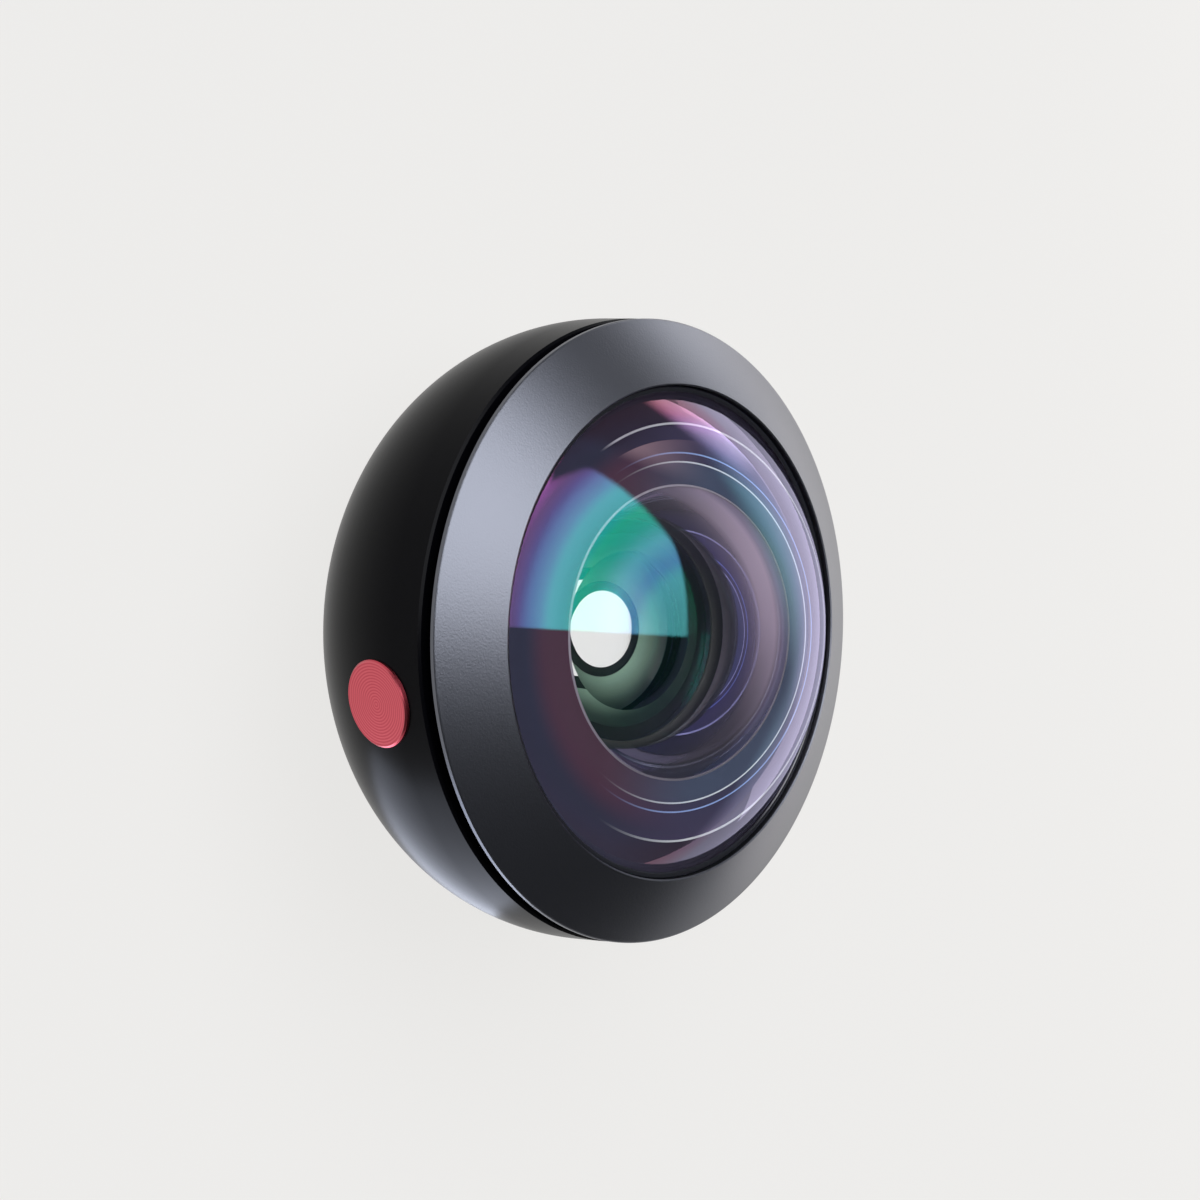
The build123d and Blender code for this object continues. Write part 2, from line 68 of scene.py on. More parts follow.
focal_pixels = PIXELS_PER_MM / MM * CAMERA_DISTANCE
off_right = RING_AT_PIXEL[0] - PHOTO_WIDTH / 2
off_up = PHOTO_WIDTH / 2 - RING_AT_PIXEL[1]
aim = (-to_camera * focal_pixels - picture_right * off_right - picture_up * off_up).normalized()
right = aim.cross(picture_up).normalized()
turn = Matrix((right, right.cross(aim), -aim)).transposed()
camera_data = bpy.data.cameras.new("camera")
camera_data.sensor_width = SENSOR_WIDTH
camera_data.lens = focal_pixels / PHOTO_WIDTH * SENSOR_WIDTH
camera_data.clip_start = NEAREST_SEEN
camera = bpy.data.objects.new("camera", camera_data)
camera.matrix_world = Matrix.Translation(ring_centre + to_camera * CAMERA_DISTANCE) @ turn.to_4x4()
bpy.context.scene.collection.objects.link(camera)
bpy.context.scene.camera = camera
bpy.context.scene.view_settings.view_transform = "Standard"


# A pale floor far larger than the view. Part of its colour is its own light, so that it stays even, and the
# rest is lit, so that it keeps the soft shadow of the lens. Seen through the glasses it is a bright table.
FLOOR_COLOUR = "#edecea"
FLOOR_OWN_LIGHT = 0.93
FLOOR_THROUGH_GLASS = "#ffffff"
FLOOR_SIDE = 14.0
SHARP_EDGE = radians(28)


def linear(code):
    """Linear red, green, blue and alpha of an sRGB hex colour."""
    parts = [int(code[i:i + 2], 16) / 255 for i in (1, 3, 5)]
    return [p / 12.92 if p <= 0.04045 else ((p + 0.055) / 1.055) ** 2.4 for p in parts] + [1.0]


def add_node(tree, kind, settings=None, links=None):
    """A node with its settings, by attribute or input, and the sockets that feed its inputs."""
    node = tree.nodes.new(kind)
    for name, value in (settings or {}).items():
        if isinstance(name, int) or name in node.inputs:
            node.inputs[name].default_value = value
        else:
            setattr(node, name, value)
    for name, source in (links or {}).items():
        tree.links.new(source, node.inputs[name])
    return node


def new_material(name):
    """An empty material, its node tree and its output node."""
    material = bpy.data.materials.new(name)
    material.use_nodes = True
    material.node_tree.nodes.clear()
    return material, material.node_tree, add_node(material.node_tree, "ShaderNodeOutputMaterial")


def finished(name, shape, material):
    """A smooth-shaded object from a bmesh, with one material, its sharp edges kept."""
    mesh = bpy.data.meshes.new(name)
    shape.to_mesh(mesh)
    shape.free()
    mesh.shade_smooth()
    mesh.set_sharp_from_angle(angle=SHARP_EDGE)
    mesh.materials.append(material)
    piece = bpy.data.objects.new(name, mesh)
    bpy.context.scene.collection.objects.link(piece)
    return piece


# Pale matt paint: even and shadowless far from the lens, a little darker in the lens's shadow.
floor_paint, tree, output = new_material("pale_table")
lit = add_node(tree, "ShaderNodeBsdfDiffuse", {"Color": linear(FLOOR_COLOUR)})
own = add_node(tree, "ShaderNodeEmission", {"Color": linear(FLOOR_COLOUR)})
even = add_node(tree, "ShaderNodeMixShader", {0: FLOOR_OWN_LIGHT}, {1: lit.outputs[0], 2: own.outputs[0]})
ray = add_node(tree, "ShaderNodeLightPath")
glass_sees = add_node(tree, "ShaderNodeEmission", {"Color": linear(FLOOR_THROUGH_GLASS)})
background = add_node(tree, "ShaderNodeMixShader", {},
                      {0: ray.outputs["Is Transmission Ray"], 1: even.outputs[0], 2: glass_sees.outputs[0]})
seen = add_node(tree, "ShaderNodeMath", {"operation": "MAXIMUM"},
                {0: ray.outputs["Is Camera Ray"], 1: ray.outputs["Is Glossy Ray"]})
seen = add_node(tree, "ShaderNodeMath", {"operation": "MAXIMUM"},
                {0: seen.outputs[0], 1: ray.outputs["Is Transmission Ray"]})
table = add_node(tree, "ShaderNodeMixShader", {},
                 {0: seen.outputs[0], 1: lit.outputs[0], 2: background.outputs[0]})
tree.links.new(table.outputs[0], output.inputs["Surface"])

shape = bmesh.new()
bmesh.ops.create_grid(shape, x_segments=1, y_segments=1, size=FLOOR_SIDE / 2)
floor = finished("floor", shape, floor_paint)


# Soft studio light. One large softbox hangs in front and above, its lower edge level with the optical axis,
# and a long pale sheet stands behind the far side with a reflector before it. A second reflector lies flat
# beside the foot of the lens and lights the dome from below.
STUDIO_DARK = 0.07
STUDIO_LIGHT_COLOUR = "#f4f6fb"
FRONT_BOX_LIGHT = 4.3
FRONT_BOX_EDGES = (                      # each edge is a plane through the ring's centre, and how soft it is
    ((0.0, 1.0, 0.02), 0.012), ((1.0, -0.392, 0.516), 0.03), ((1.0, 0.0, 0.31), 0.02),
    ((0.0, -1.0, 1.65), 0.03), ((-1.0, 0.0, 1.25), 0.05),
)
FAR_SHEET = (                            # direction, angles where it is full and gone, and its radiance
    ((-0.93, 0.36, -0.10), 12, 36, 1.9),
    ((-0.73, 0.68, -0.05), 9, 18, 2.9),
    ((-0.95, -0.30, -0.12), 6, 24, 0.9),
)


def toward(near, up, front):
    """A direction from its parts: towards the camera's side, up the picture, and along the optical axis."""
    return (side_near * near + side_up * up + axis * front).normalized()


world = bpy.data.worlds.new("studio")
world.use_nodes = True
world.node_tree.nodes.clear()
tree = world.node_tree
output = add_node(tree, "ShaderNodeOutputWorld")
direction = add_node(tree, "ShaderNodeTexCoord").outputs["Generated"]
softbox = None
for edge, softness in FRONT_BOX_EDGES:
    past_edge = add_node(tree, "ShaderNodeVectorMath", {"operation": "DOT_PRODUCT", 1: toward(*edge)},
                         {0: direction})
    inside = add_node(tree, "ShaderNodeMapRange",
                      {"interpolation_type": "SMOOTHSTEP", "From Min": -softness, "From Max": softness},
                      {"Value": past_edge.outputs["Value"]})
    if softbox is not None:
        inside = add_node(tree, "ShaderNodeMath", {"operation": "MULTIPLY"},
                          {0: softbox.outputs[0], 1: inside.outputs[0]})
    softbox = inside
total = add_node(tree, "ShaderNodeMath", {"operation": "MULTIPLY_ADD", 1: FRONT_BOX_LIGHT, 2: STUDIO_DARK},
                 {0: softbox.outputs[0]})
for way, full, gone, radiance in FAR_SHEET:
    near_it = add_node(tree, "ShaderNodeVectorMath", {"operation": "DOT_PRODUCT", 1: toward(*way)},
                       {0: direction})
    sheet = add_node(tree, "ShaderNodeMapRange",
                     {"interpolation_type": "SMOOTHSTEP", "From Min": cos(radians(gone)),
                      "From Max": cos(radians(full)), "To Max": radiance},
                     {"Value": near_it.outputs["Value"]})
    total = add_node(tree, "ShaderNodeMath", {"operation": "ADD"}, {0: total.outputs[0], 1: sheet.outputs[0]})
studio = add_node(tree, "ShaderNodeBackground", {"Color": linear(STUDIO_LIGHT_COLOUR)},
                  {"Strength": total.outputs[0]})
pale = add_node(tree, "ShaderNodeBackground", {"Color": linear(FLOOR_COLOUR), "Strength": 1.0})
ray = add_node(tree, "ShaderNodeLightPath")
surround = add_node(tree, "ShaderNodeMixShader", {},
                    {0: ray.outputs["Is Camera Ray"], 1: studio.outputs[0], 2: pale.outputs[0]})
tree.links.new(surround.outputs[0], output.inputs["Surface"])
bpy.context.scene.world = world


def reflector(name, way, distance, size, radiance, colour, faces=None):
    """A soft area lamp that faces the lens, or the way given, and that the camera doesn't see."""
    lamp = bpy.data.lights.new(name, "AREA")
    lamp.shape = "RECTANGLE"
    lamp.size, lamp.size_y = size
    lamp.energy = radiance * size[0] * size[1] * pi
    lamp.color = linear(colour)[:3]
    outward = toward(*way)
    across = axis.cross(outward).normalized()
    behind = outward if faces is None else -faces
    facing = Matrix((across, behind.cross(across), behind)).transposed().to_4x4()
    place = bpy.data.objects.new(name, lamp)
    place.matrix_world = Matrix.Translation(ring_centre + outward * distance) @ facing
    place.visible_camera = False
    bpy.context.scene.collection.objects.link(place)


reflector("far_reflector", (-0.95, 0.20, -0.06), 95 * MM, (150 * MM, 26 * MM), 1.0, "#fff6f4")
reflector("low_reflector", (0.322, -0.789, -0.523), 34.2 * MM, (26 * MM, 20 * MM), 3.2, "#dfe8ff", axis)


# Dome shell: turned from one aluminium bar, polished fine and anodised black, with a wide mouth for the front
# ring and a floor with a recess for the mount. All other outer pieces are fixed to it.
SHELL_TURNS = 320
MERGE_WITHIN = 0.0005 * MM
shell_low, shell_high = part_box("body_shell")
body_radius = shell_high.x
rim_z = shell_high.z
mount_z = shell_low.z
shoulder_radius = 14.05 * MM
shoulder_sweep = radians(44.34)
straight_height = 2.24 * MM
rim_chamfer = 0.15 * MM
wall = 1.8 * MM
floor_z = mount_z + 2.2 * MM
recess_z = mount_z + 1.0 * MM
neck_bore, skirt_bore = 18.95 * MM, 18.33 * MM
tube_bore, flange_bore = 7.88 * MM, 11.06 * MM
ledge_z, mouth_z = rim_z - 0.8 * MM, rim_z - 2.6 * MM


def turned(name, outline, material, turns=SHELL_TURNS):
    """A piece turned round the optical axis from its outline of (radius, height) points."""
    shape = bmesh.new()
    points = [shape.verts.new((r, 0, z)) for r, z in outline]
    on_axis = outline[0][0] == 0 and outline[-1][0] == 0
    ends = list(zip(points, points[1:])) + ([] if on_axis else [(points[-1], points[0])])
    edges = [shape.edges.new(pair) for pair in ends]
    bmesh.ops.spin(shape, geom=points + edges, cent=(0, 0, 0), axis=(0, 0, 1), angle=2 * pi,
                   steps=turns, use_merge=True)
    bmesh.ops.remove_doubles(shape, verts=shape.verts, dist=MERGE_WITHIN)
    bmesh.ops.recalc_face_normals(shape, faces=shape.faces)
    return finished(name, shape, material)


def arc(centre, radius, start, end, steps):
    """Points on a circle from one angle to another, in degrees."""
    angles = [radians(start + (end - start) * i / steps) for i in range(steps + 1)]
    return [(centre[0] + radius * cos(a), centre[1] + radius * sin(a)) for a in angles]


def principled(name, colour, settings):
    """A plain surface material: its tree, its Principled node and the Object coordinates of its patterns."""
    material, tree, output = new_material(name)
    surface = add_node(tree, "ShaderNodeBsdfPrincipled", {"Base Color": linear(colour), **settings})
    tree.links.new(surface.outputs[0], output.inputs["Surface"])
    return material, tree, surface, add_node(tree, "ShaderNodeTexCoord").outputs["Object"]


# Dyed black oxide over polished metal: near black face on, grey only where it is seen at a low angle. Its
# grain is finer than 0.05 mm and is drawn coarser, so that the sheen isn't glassy.
dye_grain = 0.12 * MM
black_anodised, tree, surface, coordinates = principled(
    "black_anodised_aluminium", "#050508", {"Specular IOR Level": 0.06})
grain = add_node(tree, "ShaderNodeTexNoise", {"Scale": 1 / dye_grain, "Detail": 3.0, "Roughness": 0.6},
                 {"Vector": coordinates})
spread = add_node(tree, "ShaderNodeMapRange", {"To Min": 0.26, "To Max": 0.33}, {"Value": grain.outputs[0]})
tree.links.new(spread.outputs[0], surface.inputs["Roughness"])
bump = add_node(tree, "ShaderNodeBump", {"Strength": 0.05, "Distance": 0.01 * MM},
                {"Height": grain.outputs[0]})
tree.links.new(bump.outputs[0], surface.inputs["Normal"])

shoulder_z = rim_z - straight_height
shoulder_centre = body_radius - shoulder_radius
back_radius = shoulder_radius + shoulder_centre / cos(shoulder_sweep)
back_centre_z = shoulder_z + shoulder_centre * tan(shoulder_sweep)
seat_radius = sqrt(back_radius ** 2 - (back_centre_z - mount_z) ** 2)
seat_angle = -degrees(acos(seat_radius / back_radius))
sweep = -degrees(shoulder_sweep)
inner_shoulder, inner_back = shoulder_radius - wall, back_radius - wall
mouth_angle = -degrees(asin((shoulder_z - mouth_z) / inner_shoulder))
floor_angle = -degrees(asin((back_centre_z - floor_z) / inner_back))
shell_outline = (
    arc((0, back_centre_z), back_radius, seat_angle, sweep, 24)
    + arc((shoulder_centre, shoulder_z), shoulder_radius, sweep, 0, 40)[1:]
    + [(body_radius, rim_z - rim_chamfer), (body_radius - rim_chamfer, rim_z), (neck_bore, rim_z),
       (neck_bore, ledge_z), (skirt_bore, ledge_z), (skirt_bore, mouth_z)]
    + arc((shoulder_centre, shoulder_z), inner_shoulder, mouth_angle, sweep, 16)
    + arc((0, back_centre_z), inner_back, sweep, floor_angle, 12)[1:]
    + [(tube_bore, floor_z), (tube_bore, recess_z), (flange_bore, recess_z), (flange_bore, mount_z)]
)
shell = turned("dome_shell", shell_outline, black_anodised)
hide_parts("body_shell")
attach(shell, "root")


# Front ring: turned aluminium with a conical face, bead-blasted and anodised dark grey. Its skirt screws into
# the shell and leaves a narrow dark groove behind the face.
bezel_low, bezel_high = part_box("front_bezel")
face_width = 4.22 * MM
slope = radians(30.07)
opening_radius = body_radius - face_width
groove_height = 0.83 * MM
edge_round = 0.1 * MM
bezel_bottom = rim_z + groove_height
bezel_edge = bezel_high.z - face_width * tan(slope)
clamp_z = bezel_edge + 0.9 * MM
skirt_top_z = rim_z - 0.6 * MM
neck_radius, skirt_radius, skirt_bore_radius = 18.9 * MM, 18.3 * MM, 17.1 * MM

# Blasted and dyed: a fine grain that scatters light into a soft grey sheen. Real dimples are about 0.05 mm
# wide and are drawn coarser, so that they show.
blast_grain = 0.14 * MM
blasted, tree, surface, coordinates = principled(
    "bead_blasted_anodised_aluminium", "#686a71", {"Metallic": 1.0, "Roughness": 0.38})
grain = add_node(tree, "ShaderNodeTexNoise", {"Scale": 1 / blast_grain, "Detail": 2.0, "Roughness": 0.6},
                 {"Vector": coordinates})
bump = add_node(tree, "ShaderNodeBump", {"Strength": 0.5, "Distance": 0.02 * MM},
                {"Height": grain.outputs[0]})
tree.links.new(bump.outputs[0], surface.inputs["Normal"])

bezel_outline = [
    (skirt_bore_radius, bezel_low.z), (skirt_radius, bezel_low.z), (skirt_radius, skirt_top_z),
    (neck_radius, skirt_top_z), (neck_radius, bezel_bottom),
    (body_radius - edge_round, bezel_bottom), (body_radius, bezel_bottom + edge_round),
    (body_radius, bezel_edge - edge_round * 0.6),
    (body_radius - edge_round * 0.3, bezel_edge - edge_round * 0.1),
    (body_radius - edge_round, bezel_edge + edge_round * tan(slope)),
    (opening_radius + edge_round, bezel_high.z - edge_round * tan(slope)),
    (opening_radius, bezel_high.z - edge_round), (opening_radius, clamp_z), (skirt_bore_radius, clamp_z),
]
bezel = turned("front_ring", bezel_outline, blasted)
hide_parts("front_bezel")
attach(bezel, "root")


# Retainer: a thin black aluminium ring, clamped under the front ring, that holds the front glass. Its rounded
# lip stands in the opening.
retainer_low, retainer_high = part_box("glass_retainer")
slip_fit = 0.04 * MM
lip_outer = opening_radius - slip_fit
lip_inner = lip_outer - 0.42 * MM
lip_round = 0.15 * MM
lip_top = retainer_high.z
glass_lip_z = lip_top - 0.2 * MM
glass_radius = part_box("front_element")[1].x
glass_gap = 0.02 * MM
bevel_start, bevel_end = 0.016 * MM, 0.186 * MM      # below the lip, where the glass's bevel begins and ends
rim_width = 0.03 * MM
retainer_radius = skirt_bore_radius - 0.05 * MM

# Dyed black and left shiny: the lip catches a thin line of light.
satin_black = principled(
    "satin_black_anodised_aluminium", "#17181d", {"Roughness": 0.22, "Specular IOR Level": 1.0})[0]

retainer_outline = (
    [(glass_radius + glass_gap, retainer_low.z), (retainer_radius, retainer_low.z),
     (retainer_radius, clamp_z), (lip_outer, clamp_z)]
    + arc((lip_outer - lip_round, lip_top - lip_round), lip_round, 0, 90, 6)
    + arc((lip_inner + lip_round, lip_top - lip_round), lip_round, 90, 180, 6)
    + [(lip_inner, glass_lip_z + glass_gap), (lip_inner + rim_width, glass_lip_z - bevel_start),
       (glass_radius + glass_gap, glass_lip_z - bevel_end)]
)
retainer = turned("glass_retainer_ring", retainer_outline, satin_black)
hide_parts("glass_retainer")
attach(retainer, "root")


# Front glass: a strongly domed crown-glass meniscus, polished on both faces and coated. Its edge is ground,
# Its edge is ground, and its step and rear land are inked dark, with three thin bright lines painted on the
# ink as painted highlights, and tints that change from side to side as painted light.
GLASS_TURNS = 256
GLASS_IOR = 1.52
COATED_IOR = 1.9                         # what the coated front mirrors, against bare glass at 1.52
LOW_ANGLE_TINT = "#dedbff"               # what a coating mirrors where the mirror is strong
LAMPLIGHT_THROUGH = "#f4f6f6"
EVEN_FILM = 400 * MM                     # a curve so flat that its coating is even all over
front_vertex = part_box("front_element")[1].z
front_land_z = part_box("front_element")[0].z
front_curve = 20.08 * MM
bowl_curve, bowl_radius = 8.7375 * MM, 7.8 * MM
front_thickness = 4.4 * MM
front_step_radius = 11.8 * MM
front_seat_z = front_land_z + 0.3143 * MM
bevel_radius = glass_radius - 0.15 * MM
ink_film = 0.02 * MM                     # keeps the glass off the seats behind it
ink_z, ink_seat_z = front_land_z + ink_film, front_seat_z + ink_film
land_chamfer = 0.10 * MM
bowl_edge = (0.02 * MM, 0.08 * MM)       # how far the polish ends inside the bowl's rim, and the rim's height


def polished_face(vertex, curve, inner, outer, steps, side=1):
    """Points of a spherical face between two radii. It falls outwards when side is 1 and climbs when -1."""
    radii = [inner + (outer - inner) * i / steps for i in range(steps + 1)]
    return [(r, vertex - side * (curve - sqrt(curve ** 2 - r ** 2))) for r in radii]


def set_stops(ramp, stops):
    """Give a colour ramp its stops, each a place and a linear colour."""
    while len(ramp.color_ramp.elements) < len(stops):
        ramp.color_ramp.elements.new(0.5)
    for element, (place, colour) in zip(ramp.color_ramp.elements, stops):
        element.position, element.color = place, colour


def film_tint(tree, stops, curve):
    """What a coating does to mirrored light. It is thinner where a steep face was coated, and works thinner
    at a low angle; stops give its colour for each working thickness."""
    turned_away = add_node(tree, "ShaderNodeLayerWeight", {"Blend": 0.5}).outputs["Facing"]
    facing = add_node(tree, "ShaderNodeMath", {"operation": "SUBTRACT", 0: 1.0},
                      {1: turned_away}).outputs[0]
    squared = add_node(tree, "ShaderNodeMath", {"operation": "MULTIPLY"},
                       {0: facing, 1: facing}).outputs[0]
    bend = 1 / GLASS_IOR ** 2
    slant = add_node(tree, "ShaderNodeMath", {"operation": "MULTIPLY_ADD", 1: bend, 2: 1 - bend},
                     {0: squared}).outputs[0]
    coordinates = add_node(tree, "ShaderNodeTexCoord").outputs["Object"]
    outward = add_node(tree, "ShaderNodeVectorMath",
                       {"operation": "MULTIPLY", 1: (1 / curve, 1 / curve, 0)}, {0: coordinates}).outputs[0]
    spread = add_node(tree, "ShaderNodeVectorMath", {"operation": "DOT_PRODUCT"},
                      {0: outward, 1: outward}).outputs["Value"]
    steep = add_node(tree, "ShaderNodeMath", {"operation": "SUBTRACT", 0: 1.0}, {1: spread}).outputs[0]
    product = add_node(tree, "ShaderNodeMath", {"operation": "MULTIPLY"}, {0: slant, 1: steep}).outputs[0]
    thickness = add_node(tree, "ShaderNodeMath", {"operation": "SQRT"}, {0: product}).outputs[0]
    ramp = add_node(tree, "ShaderNodeValToRGB", {}, {"Fac": thickness})
    set_stops(ramp, [(place, linear(colour)) for place, colour in stops])
    return ramp.outputs["Color"]


def veil_with_painted_light(tree, clear, colour, painted_shade_colour, amounts):
    """A milky veil over a clear face, a painted reflection that stands in for what the face mirrors at a low
    angle. Its colour is painted lighter on the side away from the camera and above, as painted light and
    shade, and it is stronger or weaker with each part that the face is turned away."""
    turned_away = add_node(tree, "ShaderNodeLayerWeight", {"Blend": 0.5}).outputs["Facing"]
    amount = add_node(tree, "ShaderNodeValToRGB", {}, {"Fac": turned_away})
    set_stops(amount, [(place, (share, share, share, 1)) for place, share in amounts])
    coordinates = add_node(tree, "ShaderNodeTexCoord").outputs["Object"]
    toward_painted_light = add_node(tree, "ShaderNodeVectorMath", {"operation": "DOT_PRODUCT", 1: toward(-0.95, 0.3, 0)},
                        {0: coordinates}).outputs["Value"]
    painted_lit_side = add_node(tree, "ShaderNodeMapRange",
                        {"interpolation_type": "SMOOTHSTEP", "From Min": 0.5 * MM, "From Max": 6.5 * MM},
                        {"Value": toward_painted_light}).outputs[0]
    # Painted light and shade: the veil's colour goes from the shaded colour to the lit one towards the far,
    # upper side.
    shade = add_node(tree, "ShaderNodeMix",
                     {"data_type": "RGBA", 6: linear(painted_shade_colour), 7: linear(colour)}, {0: painted_lit_side})
    painted_veil = add_node(tree, "ShaderNodeBsdfDiffuse", {}, {"Color": shade.outputs[2]})
    return add_node(tree, "ShaderNodeMixShader", {},
                    {0: amount.outputs["Color"], 1: clear.outputs[0], 2: painted_veil.outputs[0]})


def coated_glass(name, mirror_ior, stops, curve, whitening, painted_veil=None):
    """Polished glass whose coating tints what it mirrors, less and less between both strengths of the mirror
    that whitening gives. A painted veil is its painted lit and shaded colours and its amounts. Lamps shine
    straight through."""
    material, tree, output = new_material(name)
    mirror = add_node(tree, "ShaderNodeFresnel", {"IOR": mirror_ior}).outputs[0]
    weak, strong = whitening
    white = add_node(tree, "ShaderNodeMapRange", {"From Min": weak, "From Max": strong}, {"Value": mirror})
    tint = add_node(tree, "ShaderNodeMix", {"data_type": "RGBA", 7: linear(LOW_ANGLE_TINT)},
                    {0: white.outputs[0], 6: film_tint(tree, stops, curve)})
    gloss = add_node(tree, "ShaderNodeBsdfGlossy", {"Roughness": 0.0}, {"Color": tint.outputs[2]})
    through = add_node(tree, "ShaderNodeBsdfRefraction",
                       {"Color": linear("#ffffff"), "IOR": GLASS_IOR, "Roughness": 0.0})
    clear = add_node(tree, "ShaderNodeMixShader", {}, {0: mirror, 1: through.outputs[0], 2: gloss.outputs[0]})
    if painted_veil:
        clear = veil_with_painted_light(tree, clear, *painted_veil)
    ray = add_node(tree, "ShaderNodeLightPath")
    lamp_light = add_node(tree, "ShaderNodeMath", {"operation": "MAXIMUM"},
                          {0: ray.outputs["Is Shadow Ray"], 1: ray.outputs["Is Diffuse Ray"]}).outputs[0]
    open_glass = add_node(tree, "ShaderNodeBsdfTransparent", {"Color": linear(LAMPLIGHT_THROUGH)})
    whole = add_node(tree, "ShaderNodeMixShader", {},
                     {0: lamp_light, 1: clear.outputs[0], 2: open_glass.outputs[0]})
    tree.links.new(whole.outputs[0], output.inputs["Surface"])
    return material


def from_axis(tree, coordinates):
    """How far a point is from the optical axis."""
    flat = add_node(tree, "ShaderNodeVectorMath", {"operation": "MULTIPLY", 1: (1, 1, 0)},
                    {0: coordinates})
    return add_node(tree, "ShaderNodeVectorMath", {"operation": "LENGTH"},
                    {0: flat.outputs[0]}).outputs["Value"]


def ink_rings(tree, reach, bands):
    """Even rings of colour, each from its part of the ink's radius outwards."""
    ramp = add_node(tree, "ShaderNodeValToRGB", {}, {"Fac": reach})
    ramp.color_ramp.interpolation = "CONSTANT"
    set_stops(ramp, [(place, linear(colour)) for place, colour in bands])
    return ramp.outputs["Color"]


# Multilayer coating: what it mirrors turns from coral and magenta at the rim, over blue, to green in the
# middle, and to pale lavender at the far side.
front_coating = coated_glass("coated_front_glass", COATED_IOR, (
    (0.500, "#ff8a6c"), (0.556, "#ff5f5c"), (0.590, "#fb5590"), (0.620, "#d070d0"), (0.645, "#8b599b"),
    (0.668, "#7665b1"), (0.690, "#769ee2"), (0.715, "#6ccbf9"), (0.735, "#59f3ff"), (0.766, "#27e7e7"),
    (0.785, "#19e7bc"), (0.810, "#30ddc4"), (0.838, "#7ce7fd"), (0.862, "#6cb4ef"), (0.874, "#70dcea"),
    (0.900, "#5cc4c0")), front_curve, (0.10, 0.21))

# The bowl's coating: hardly any mirror, but a soft mauve veil that shows the bowl's round wall, a painted
# reflection of the ground edge, its colour painted lighter on the far, upper side and darker elsewhere.
bowl_coating = coated_glass("coated_bowl", GLASS_IOR, (
    (0.70, "#304850"), (0.90, "#2c5a50")), EVEN_FILM, (0.3, 0.9), ("#bba6ba", "#655a67", (
        (0.10, 0.02), (0.20, 0.15), (0.255, 0.27), (0.31, 0.38), (0.36, 0.52), (0.41, 0.86), (0.56, 0.88),
        (0.64, 0.55), (0.80, 0.40))))

# Ground glass: a dull, pale edge that shows as a thin line round the bowl and the rim.
ground_edge = principled("ground_glass_edge", "#8f8590", {"Roughness": 0.8})[0]

# Ink behind clear glass, dark, with painted light on it: its colour is painted by side, dark blue outside and
# wine red inside
#  on the near half, slate with thin painted highlights on the far half, and rosy at the top.
ink_radius = 12.0 * MM
land_ink_and_painted_light, tree, surface, coordinates = principled(
    "inked_land_with_painted_light", "#302a3a", {"Roughness": 0.6, "Specular IOR Level": 0.2})
ink_reach = add_node(tree, "ShaderNodeMath", {"operation": "DIVIDE", 1: ink_radius},
                     {0: from_axis(tree, coordinates)}).outputs[0]
outer = add_node(tree, "ShaderNodeMapRange",
                 {"interpolation_type": "SMOOTHSTEP", "From Min": 0.80, "From Max": 0.97},
                 {"Value": ink_reach})
# Painted tint on the near half: wine red inside, dark blue outside.
near_ink_painted_tint = add_node(tree, "ShaderNodeMix",
                    {"data_type": "RGBA", 6: linear("#4c2f3e"), 7: linear("#303142")}, {0: outer.outputs[0]})
# Painted light at the top: a rosy glow with one thin painted highlight.
top_ink_painted_light = ink_rings(tree, ink_reach, (
    (0.0, "#94767e"), (0.885, "#302a3a"), (0.9740, "#a9a4ac"), (0.995, "#2c2734")))
# Painted highlights on the far half: thin bright bands in the slate.
far_ink_painted_highlights = ink_rings(tree, ink_reach, (
    (0.0, "#454a60"), (0.7630, "#d0d4da"), (0.7700, "#3d3850"), (0.8125, "#8fa6d8"), (0.8200, "#3d3850"),
    (0.9740, "#c4c5c8"), (0.995, "#2c2734")))
# Where the painted light goes: the top, then the far half.
to_top = add_node(tree, "ShaderNodeVectorMath", {"operation": "DOT_PRODUCT", 1: toward(-0.35, 0.94, 0)},
                  {0: coordinates})
painted_top_mask = add_node(tree, "ShaderNodeMapRange",
                    {"interpolation_type": "SMOOTHSTEP", "From Min": 7.4 * MM, "From Max": 8.8 * MM},
                    {"Value": to_top.outputs["Value"]})
near_ink_painted_tint = add_node(tree, "ShaderNodeMix", {"data_type": "RGBA"},
                    {0: painted_top_mask.outputs[0], 6: near_ink_painted_tint.outputs[2], 7: top_ink_painted_light})
to_near = add_node(tree, "ShaderNodeVectorMath", {"operation": "DOT_PRODUCT", 1: side_near}, {0: coordinates})
painted_far_mask = add_node(tree, "ShaderNodeMapRange",
                    {"interpolation_type": "SMOOTHSTEP", "From Min": 5 * MM, "From Max": -3 * MM},
                    {"Value": to_near.outputs["Value"]})
ink_with_painted_light = add_node(tree, "ShaderNodeMix", {"data_type": "RGBA"},
                     {0: painted_far_mask.outputs[0], 6: near_ink_painted_tint.outputs[2], 7: far_ink_painted_highlights})
tree.links.new(ink_with_painted_light.outputs[2], surface.inputs["Base Color"])

